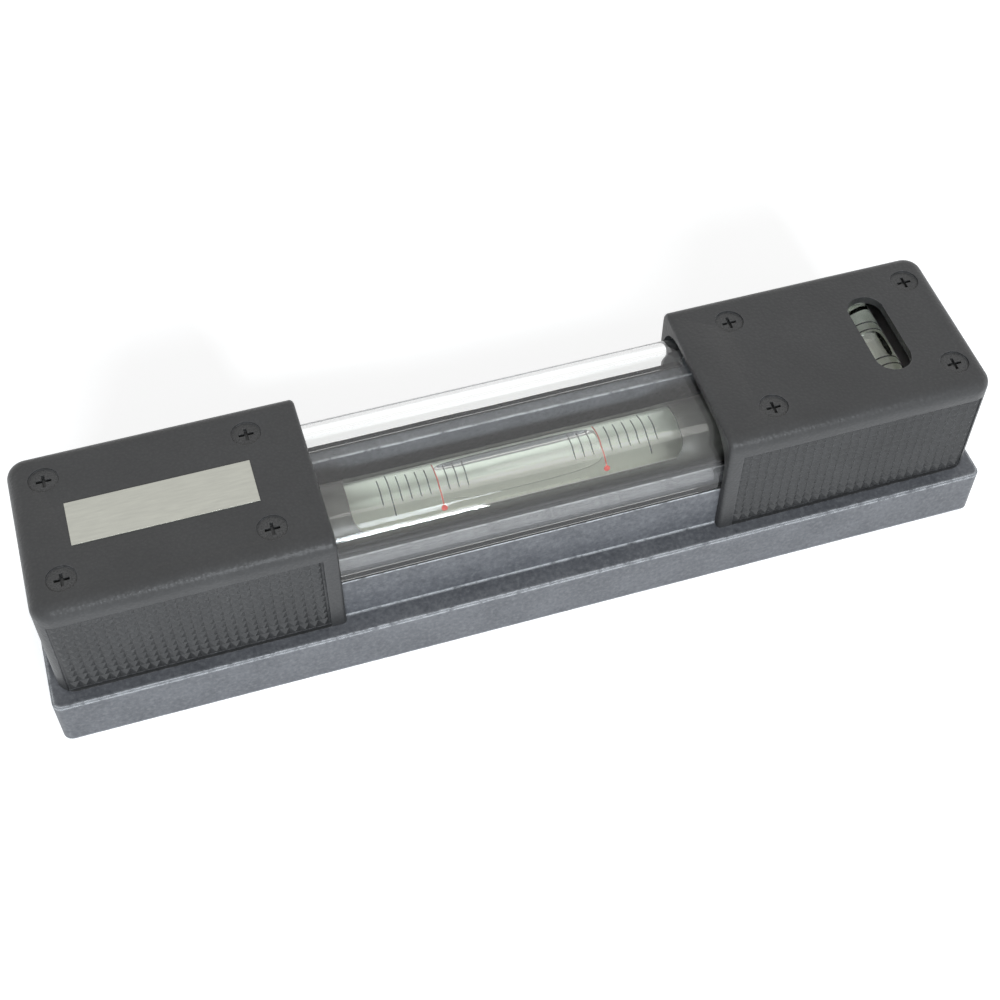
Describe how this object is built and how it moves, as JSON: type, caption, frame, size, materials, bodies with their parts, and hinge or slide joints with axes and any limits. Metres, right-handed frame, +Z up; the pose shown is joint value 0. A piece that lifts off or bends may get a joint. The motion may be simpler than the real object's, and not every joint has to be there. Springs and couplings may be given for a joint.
{
  "type": "precision machinist level",
  "caption": "Precision level with a cast prismatic base, pyramid-grip end covers, a clear hood over the main vial and a small cross vial.",
  "frame": {"origin": "middle of the sole, on the surface that the level stands on", "axes": "+X along the level towards the cover with the cross vial, +Y across it to the back, +Z up"},
  "size_m": [0.2, 0.045, 0.0402],
  "materials": {
    "casting": "ground and painted hammer grey",
    "cover": "fine pebble grain",
    "cover_screw": "blackened",
    "plate": "satin",
    "clear_hood": "clear acrylic",
    "seal": "matte",
    "sleeve": "satin",
    "vial_glass": "ground and clear",
    "backing": "matte",
    "spirit": "clear liquid",
    "bubble": "clear",
    "black_paint": "matte",
    "red_paint": "matte",
    "turned_brass": "turned",
    "steel": "bright",
    "setting": "cast compound",
    "saddle": "milled"
  },
  "bodies": {
    "level_body": {"base_casting": "casting", "left_cover": "cover", "right_cover": "cover", "left_cover_screws": "cover_screw", "right_cover_screws": "cover_screw", "label_plate": "plate", "clear_hood": "clear_hood", "hood_seals": "seal", "pivot_pin": "steel", "hold_down_spring": "steel", "spring_bridge": "steel", "bridge_screws": "steel", "cross_vial_saddle": "saddle", "saddle_screws": "steel", "cross_vial_glass": "vial_glass", "cross_vial_backing": "backing", "cross_vial_spirit": "spirit", "cross_vial_rings": "black_paint"},
    "vial_carrier": {"vial_sleeve": "sleeve", "main_vial_glass": "vial_glass", "main_vial_backing": "backing", "main_vial_spirit": "spirit", "graduation_lines": "black_paint", "index_lines": "red_paint", "pivot_plug": "turned_brass", "tongue_plug": "turned_brass", "vial_settings": "setting"},
    "adjuster": {"adjusting_screw": "steel"},
    "main_bubble_air": {"main_bubble": "bubble"},
    "cross_bubble_air": {"cross_bubble": "bubble"}
  },
  "joints": [
    {"name": "vial_tilt", "type": "hinge", "parent": "level_body", "child": "vial_carrier", "pos_m": [-0.06, 0, 0.0195], "axis": [0, 1, 0], "range_deg": [-0.229, 0.229], "deforming": ["hold_down_spring"]},
    {"name": "adjusting_turn", "type": "hinge", "parent": "level_body", "child": "adjuster", "pos_m": [0.063, 0, 0.013], "axis": [0, 0, 1], "range_deg": [-360, 360]},
    {"name": "main_bubble_run", "type": "slide", "parent": "vial_carrier", "child": "main_bubble_air", "axis": [1, 0, 0], "range_m": [-0.02, 0.02]},
    {"name": "cross_bubble_run", "type": "slide", "parent": "level_body", "child": "cross_bubble_air", "axis": [0, 1, 0], "range_m": [-0.008, 0.008]}
  ],
  "couplings": [
    {"joint": "adjusting_turn", "follows": "vial_tilt", "ratio": 1545.6}
  ]
}
